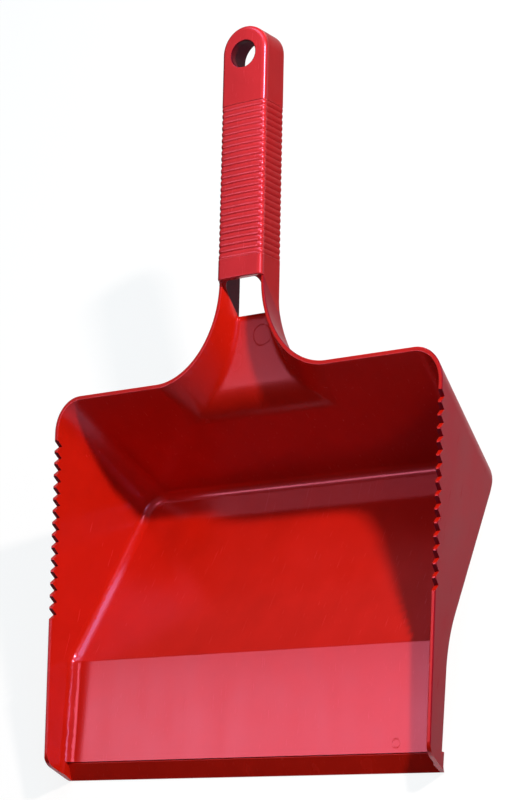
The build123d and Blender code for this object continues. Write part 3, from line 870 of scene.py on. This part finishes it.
def dress_grip(mesh, materials):
    """Sets the grip's mesh on the handle and gives its front and its sides their skins; the sides' deeper red is
    painted shade.
    """
    shape = bmesh.new()
    shape.from_mesh(mesh)
    bmesh.ops.recalc_face_normals(shape, faces=shape.faces)
    for face in shape.faces:
        face.material_index = GRIP_FLANK if face.calc_center_median().y < FLANK_TOP else GRIP_FRONT
    bmesh.ops.transform(shape, matrix=HANDLE_FRAME, verts=shape.verts)
    shape.normal_update()
    shade(shape, RIB_SHARP_ANGLE)
    mesh.materials.clear()
    for material in materials:
        mesh.materials.append(material)
    shape.to_mesh(mesh)
    shape.free()


class DUSTPAN_OT_grip(bpy.types.Operator):
    """Makes the ribbed grip"""

    bl_idname = "dustpan.grip"
    bl_label = "Grip"

    def execute(self, context):
        finish = context.scene.dustpan_finish
        grip = context.scene.dustpan_grip
        front = front_red("grip_red", finish)
        section = section_path(grip)
        piece = new_piece("grip_ribbed", grip_base(grip))
        modifier = piece.modifiers.new("Ribs", "NODES")
        modifier.node_group = rib_tree()
        values = {
            "Section": section, "Ribs": grip.rib_count, "Start": grip.start, "Length": grip.length,
            "Rib Height": grip.rib_height, "Rib Gap": grip.rib_gap,
        }
        for item in modifier.node_group.interface.items_tree:
            if item.in_out == "INPUT" and item.name in values:
                modifier[item.identifier] = values[item.name]
        bake(piece)
        bpy.data.objects.remove(section)
        dress_grip(piece.data, (front, flank_shaded_red(finish)))
        if len(piece.data.polygons) < LEAST_FACES:
            raise RuntimeError("The grip has no ribs")
        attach(piece, "root")
        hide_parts("grip_sleeve")
        return {"FINISHED"}


def area_light(name, place, aim, size, colour, energy):
    """A soft rectangular lamp that shines from a place at an aim."""
    lamp = bpy.data.lights.new(name, "AREA")
    lamp.shape = "RECTANGLE"
    lamp.size, lamp.size_y = size
    lamp.color = colour
    lamp.energy = energy
    piece = new_piece(name, lamp)
    piece.location = place
    piece.rotation_euler = (place - aim).to_track_quat("Z", "Y").to_euler()
    return piece


def seen_rays(tree):
    """Two masks: one of camera rays, and one of camera, glossy and transmission rays together."""
    path = tree.nodes.new("ShaderNodeLightPath")
    camera, glossy, through = (path.outputs[f"Is {kind} Ray"] for kind in ("Camera", "Glossy", "Transmission"))
    return camera, maths(tree, "ADD", maths(tree, "ADD", camera, glossy), through, clamp=True)


def studio_floor(stage):
    """A round white floor that keeps the shadow."""
    shape = bmesh.new()
    bmesh.ops.create_circle(shape, cap_ends=True, segments=96, radius=stage.floor_radius)
    mesh = bpy.data.meshes.new("floor")
    shape.to_mesh(mesh)
    shape.free()
    floor = new_piece("floor", mesh)
    floor.location = (0.0, 0.0, -FLOOR_DROP)
    white = bpy.data.materials.new("floor_white")
    white.use_nodes = True
    tree = white.node_tree
    shader = tree.nodes["Principled BSDF"]
    shader.inputs["Base Color"].default_value = FLOOR_COLOUR
    shader.inputs["Roughness"].default_value = 0.9
    shader.inputs["Specular IOR Level"].default_value = 0.0
    glow = tree.nodes.new("ShaderNodeEmission")
    glow.inputs["Strength"].default_value = FLOOR_GLOW
    shown = tree.nodes.new("ShaderNodeMixShader")
    _, seen = seen_rays(tree)
    tree.links.new(maths(tree, "MULTIPLY", seen, stage.floor_white), shown.inputs["Fac"])
    tree.links.new(shader.outputs[0], shown.inputs[1])
    tree.links.new(glow.outputs[0], shown.inputs[2])
    tree.links.new(shown.outputs[0], tree.nodes["Material Output"].inputs["Surface"])
    mesh.materials.append(white)


def studio_world(scene, stage):
    """Dim light all round; a white backdrop; reflections show a room that is bright overhead."""
    world = scene.world or bpy.data.worlds.new("studio")
    scene.world = world
    world.use_nodes = True
    tree = world.node_tree
    ambient = tree.nodes["Background"]
    ambient.inputs["Color"].default_value = AMBIENT_COLOUR
    ambient.inputs["Strength"].default_value = stage.ambient
    camera, seen = seen_rays(tree)
    ways = tree.nodes.new("ShaderNodeSeparateXYZ")
    tree.links.new(tree.nodes.new("ShaderNodeTexCoord").outputs["Generated"], ways.inputs[0])
    overhead = ranged(tree, ways.outputs["Z"], low=0.40, high=0.72, to_low=0.05, to_high=0.36)
    room = tree.nodes.new("ShaderNodeBackground")
    room.inputs["Color"].default_value = ROOM_COLOUR
    tree.links.new(maths(tree, "MAXIMUM", camera, overhead), room.inputs["Strength"])
    mixed = tree.nodes.new("ShaderNodeMixShader")
    tree.links.new(seen, mixed.inputs["Fac"])
    tree.links.new(ambient.outputs[0], mixed.inputs[1])
    tree.links.new(room.outputs[0], mixed.inputs[2])
    tree.links.new(mixed.outputs[0], tree.nodes["World Output"].inputs["Surface"])


class DUSTPAN_OT_stage(bpy.types.Operator):
    """Sets the floor, the lamps and the camera"""

    bl_idname = "dustpan.stage"
    bl_label = "Studio Stage"

    def execute(self, context):
        scene = context.scene
        stage = scene.dustpan_stage
        scene.view_settings.view_transform = "Standard"
        studio_floor(stage)
        studio_world(scene, stage)
        powers = {
            "key_lamp": stage.key_power,
            "ramp_softbox": stage.softbox_power,
            "ceiling": stage.ceiling_power,
            "rear_window": stage.window_power,
            "side_strip": stage.strip_power,
        }
        lamps = {name: area_light(name, *LAMPS[name], power) for name, power in powers.items()}
        # The softbox shows in reflections only, and the ceiling in none
        lamps["ramp_softbox"].visible_diffuse = False
        lamps["ceiling"].visible_glossy = False
        camera = new_piece("camera", bpy.data.cameras.new("camera"))
        view = Vector(stage.camera_view).normalized()
        right = view.cross(Vector(stage.camera_up)).normalized()
        up = right.cross(view)
        turn = Matrix((right, up, -view)).transposed()
        camera.matrix_world = Matrix.Translation(stage.camera_place) @ turn.to_4x4()
        camera.data.lens = stage.lens
        camera.data.sensor_width = 36.0
        camera.data.clip_start = 0.01
        scene.camera = camera
        return {"FINISHED"}


class DUSTPAN_PT_panel(bpy.types.Panel):
    """Shows the settings of the dustpan and a button for each piece"""

    bl_idname = "DUSTPAN_PT_panel"
    bl_label = "Dustpan"
    bl_space_type = "VIEW_3D"
    bl_region_type = "UI"
    bl_category = "Dustpan"

    def draw(self, context):
        scene = context.scene
        for group in (scene.dustpan_finish, scene.dustpan_grip, scene.dustpan_stage):
            box = self.layout.box()
            for name in group.__annotations__:
                box.prop(group, name)
        column = self.layout.column()
        for operator in OPERATORS:
            column.operator(operator.bl_idname)


OPERATORS = (
    DUSTPAN_OT_pan,
    DUSTPAN_OT_lip,
    DUSTPAN_OT_handle,
    DUSTPAN_OT_grip,
    DUSTPAN_OT_stage,
)
GROUPS = {
    "dustpan_finish": DustpanFinish,
    "dustpan_grip": DustpanGrip,
    "dustpan_stage": DustpanStage,
}


def register():
    for group in GROUPS.values():
        bpy.utils.register_class(group)
    for operator in OPERATORS:
        bpy.utils.register_class(operator)
    bpy.utils.register_class(DUSTPAN_PT_panel)
    for name, group in GROUPS.items():
        setattr(bpy.types.Scene, name, PointerProperty(type=group))


def unregister():
    for name in GROUPS:
        delattr(bpy.types.Scene, name)
    bpy.utils.unregister_class(DUSTPAN_PT_panel)
    for operator in reversed(OPERATORS):
        bpy.utils.unregister_class(operator)
    for group in GROUPS.values():
        bpy.utils.unregister_class(group)


def main():
    register()
    bpy.ops.dustpan.pan()
    bpy.ops.dustpan.lip()
    bpy.ops.dustpan.handle()
    bpy.ops.dustpan.grip()
    bpy.ops.dustpan.stage()


if __name__ == "__main__":
    main()
